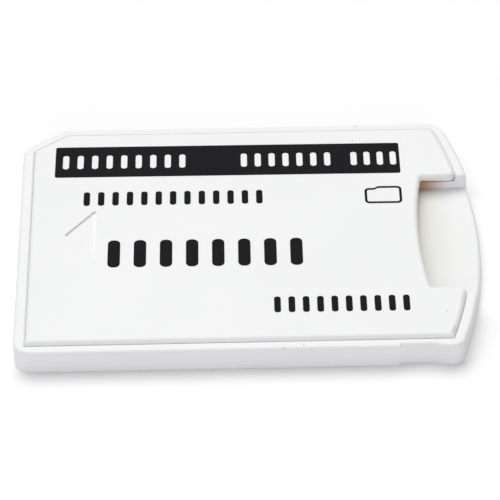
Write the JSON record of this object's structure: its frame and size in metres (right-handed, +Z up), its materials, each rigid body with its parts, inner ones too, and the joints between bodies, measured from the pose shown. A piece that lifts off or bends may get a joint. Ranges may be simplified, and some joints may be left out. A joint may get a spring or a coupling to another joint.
{
  "type": "memory card adapter",
  "caption": "Flat white card-shaped adapter that carries a fingernail-size memory card into a wider card slot, with a finger recess at its tail end.",
  "frame": {"origin": "centre of the underside's box, on the surface that the adapter lies on", "axes": "+X to the tail end with the finger recess, +Y across the body to the side without the detent, +Z up out of the printed panel"},
  "size_m": [0.03, 0.022, 0.0019],
  "materials": {
    "shell_plastic": "satin white moulded plastic",
    "printed_ink": "black printing ink",
    "board": "green solder resist on thin glass-fibre laminate",
    "holder_plastic": "black moulded plastic",
    "contact_metal": "thin gold plating",
    "chip_ceramic": "dark glazed ceramic with tinned ends",
    "capacitor_ceramic": "tan ceramic with tinned ends"
  },
  "bodies": {
    "root": {"lower_shell": "shell_plastic", "upper_shell": "shell_plastic", "circuit_board": "board", "edge_contact_1": "contact_metal", "edge_contact_2": "contact_metal", "edge_contact_3": "contact_metal", "edge_contact_4": "contact_metal", "edge_contact_5": "contact_metal", "edge_contact_6": "contact_metal", "edge_contact_7": "contact_metal", "edge_contact_8": "contact_metal", "edge_contact_9": "contact_metal", "edge_contact_10": "contact_metal", "contact_holder": "holder_plastic", "card_contact_1": "contact_metal", "card_contact_2": "contact_metal", "card_contact_3": "contact_metal", "card_contact_4": "contact_metal", "card_contact_5": "contact_metal", "card_contact_6": "contact_metal", "card_contact_7": "contact_metal", "card_contact_8": "contact_metal", "resistor_1": "chip_ceramic", "resistor_2": "chip_ceramic", "resistor_3": "chip_ceramic", "resistor_4": "chip_ceramic", "resistor_5": "chip_ceramic", "capacitor_1": "capacitor_ceramic", "printed_bar": "printed_ink", "printed_upper_row": "printed_ink", "printed_large_row": "printed_ink", "printed_lower_row": "printed_ink", "printed_card_outline": "printed_ink"}
  },
  "joints": []
}
